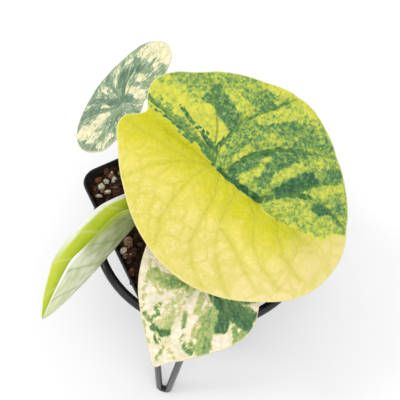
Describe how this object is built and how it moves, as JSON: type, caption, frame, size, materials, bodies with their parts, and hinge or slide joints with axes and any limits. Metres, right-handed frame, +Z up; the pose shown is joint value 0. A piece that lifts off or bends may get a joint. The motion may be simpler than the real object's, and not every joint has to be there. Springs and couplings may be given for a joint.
{
  "type": "potted aroid house plant in a wire stand",
  "caption": "Variegated shield-leaved aroid in a square black nursery pot, carried by a black wire ring stand on hairpin legs.",
  "frame": {"origin": "on the floor, under the middle of the whole plant and stand as seen from above", "axes": "+Z up from the floor; -Y is the front, the side from which the big leaf shows its upper face; +X to the right seen from the front"},
  "size_m": [0.157, 0.1772, 0.181],
  "materials": {
    "pot_plastic": "satin black moulded plastic",
    "mix": "rough, moist bark mix",
    "stem": "matte green skin",
    "petiole": "smooth pale green skin",
    "leaf_big": "pebbled, semi-matte leaf skin",
    "leaf_back": "pebbled, semi-matte leaf skin",
    "leaf_front": "pebbled, semi-matte leaf skin",
    "leaf_young": "smooth young leaf skin",
    "stand_wire": "satin black powder coat"
  },
  "bodies": {
    "root": {"pot": "pot_plastic", "potting_mix": "mix", "stem": "stem", "petiole_big": "petiole", "petiole_back": "petiole", "petiole_front": "petiole", "petiole_young": "petiole", "leaf_big": "leaf_big", "leaf_back": "leaf_back", "leaf_front": "leaf_front", "leaf_young": "leaf_young", "stand_ring": "stand_wire", "stand_leg_1": "stand_wire", "stand_leg_2": "stand_wire", "stand_leg_3": "stand_wire"}
  },
  "joints": []
}
